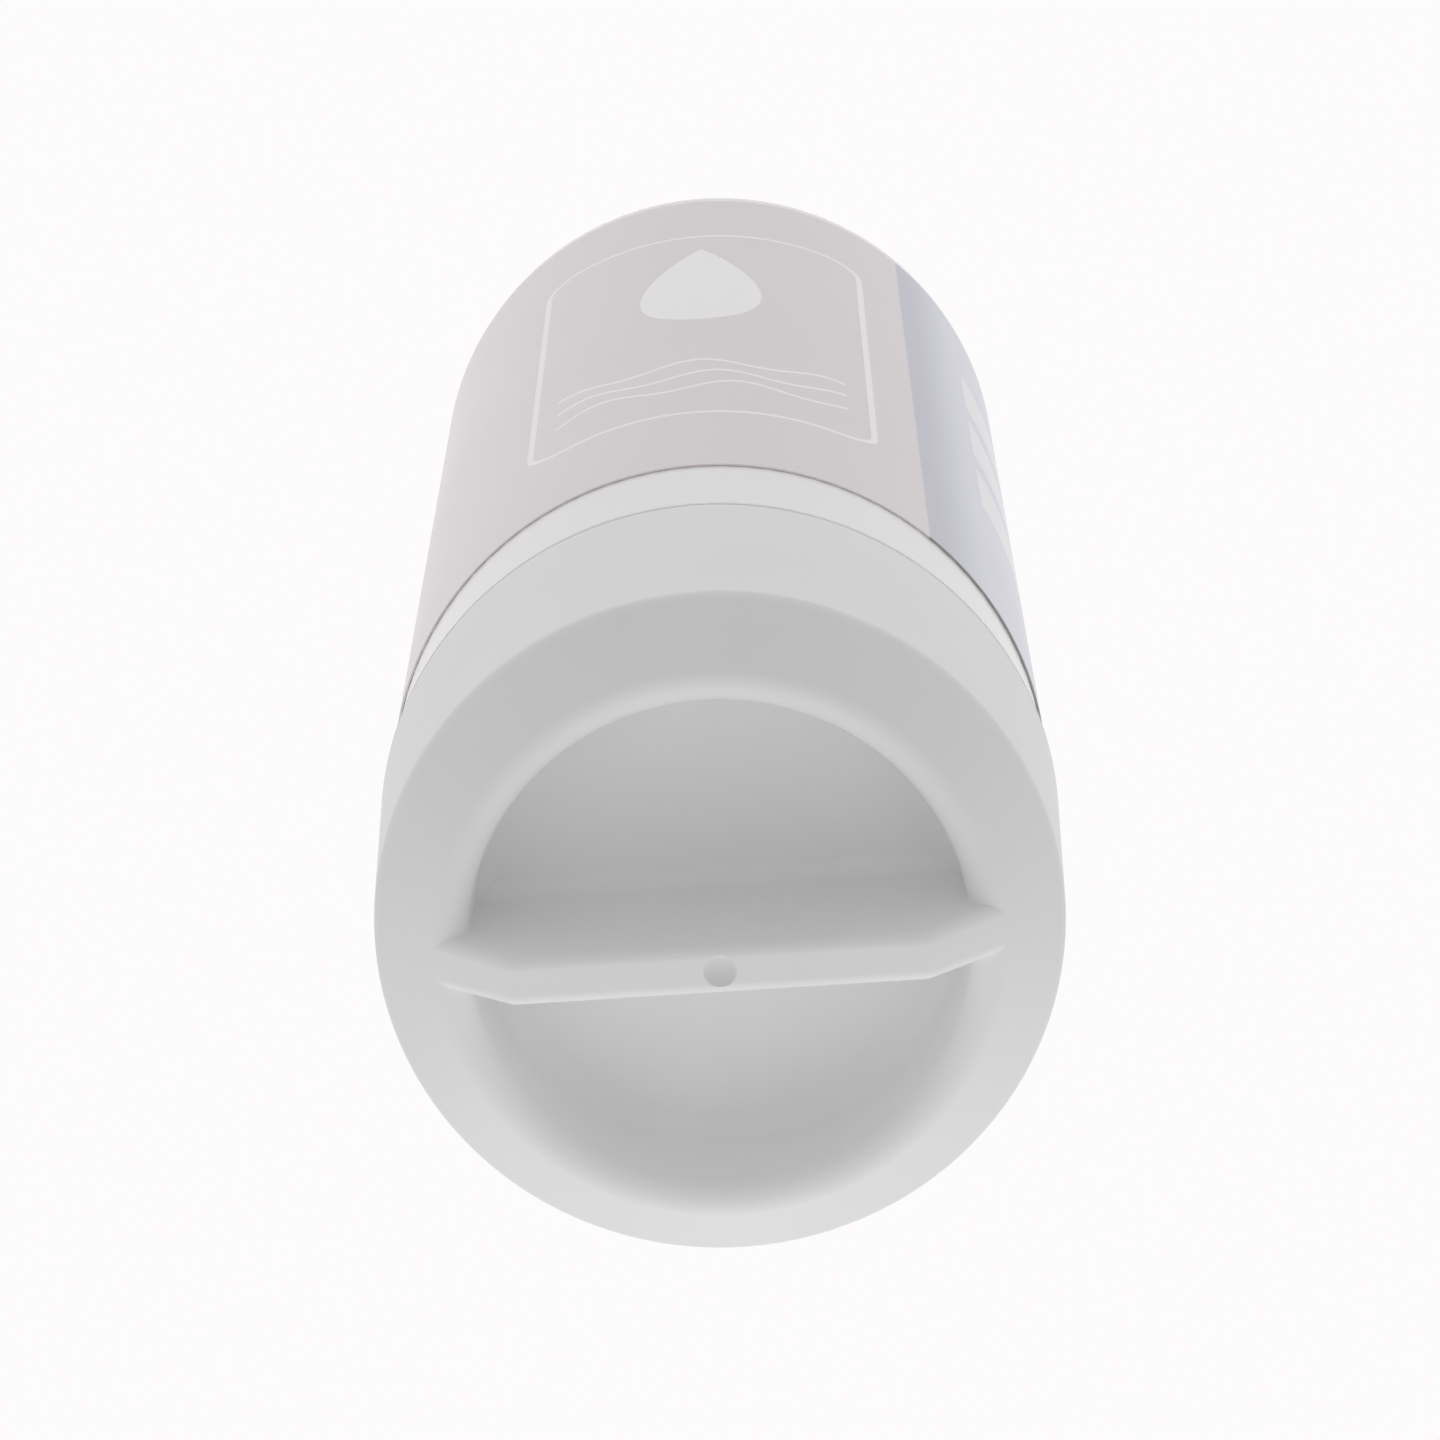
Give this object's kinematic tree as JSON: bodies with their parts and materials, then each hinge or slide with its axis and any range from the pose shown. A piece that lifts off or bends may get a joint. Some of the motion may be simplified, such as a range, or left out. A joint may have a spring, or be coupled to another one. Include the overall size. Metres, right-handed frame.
{
  "type": "fridge water filter cartridge",
  "caption": "Slim round twist-in water filter cartridge with a labelled canister, a stepped sealing neck and a bevelled end cap with a grip rib between finger pockets.",
  "frame": {"origin": "on the axis where the neck rises from the shoulder, the place that the filter head holds", "axes": "+Z along the axis towards the neck, as fitted under a filter head; +X along the grip rib"},
  "size_m": [0.0668, 0.0668, 0.223],
  "materials": {
    "canister_plastic": "white moulded polypropylene with a soft sheen",
    "cap_plastic": "white moulded polypropylene, satin, with rounded pocket edges",
    "label_film": "pale printed film with a blue-grey field",
    "pressed_carbon": "pressed carbon grains, dull black",
    "fibre_wrap": "off-white bonded fibre",
    "plate_plastic": "natural moulded polypropylene",
    "seal_rubber": "black rubber, smooth and lightly greased"
  },
  "bodies": {
    "root": {"housing": "canister_plastic", "end_cap": "cap_plastic", "label": "label_film", "carbon_block": "pressed_carbon", "prefilter_wrap": "fibre_wrap", "outlet_end_plate": "plate_plastic", "blind_end_plate": "plate_plastic", "plate_seal_ring": "seal_rubber", "inlet_seal_ring": "seal_rubber", "outlet_seal_ring": "seal_rubber"}
  },
  "joints": []
}
